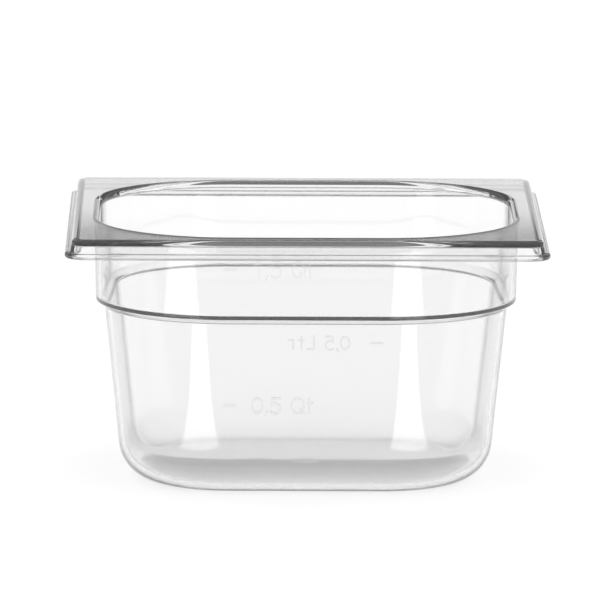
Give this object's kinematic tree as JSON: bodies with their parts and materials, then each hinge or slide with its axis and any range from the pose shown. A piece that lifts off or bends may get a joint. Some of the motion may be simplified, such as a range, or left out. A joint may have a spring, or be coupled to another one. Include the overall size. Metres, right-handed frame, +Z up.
{
  "type": "deli food pan",
  "caption": "Clear plastic food pan with a square flanged rim, rounded corners, a stacking shoulder and raised level marks.",
  "frame": {"origin": "centre of the underside", "axes": "+Z up, +X along the longer side of the rim, -Y is the front with the quart marks"},
  "size_m": [0.176, 0.162, 0.0975],
  "materials": {
    "clear_plastic": "clear, polished, faint scuffs",
    "mark_plastic": "clear, polished"
  },
  "bodies": {
    "root": {"pan": "clear_plastic", "quart_marks": "mark_plastic", "litre_marks": "mark_plastic", "base_marks": "mark_plastic"}
  },
  "joints": []
}
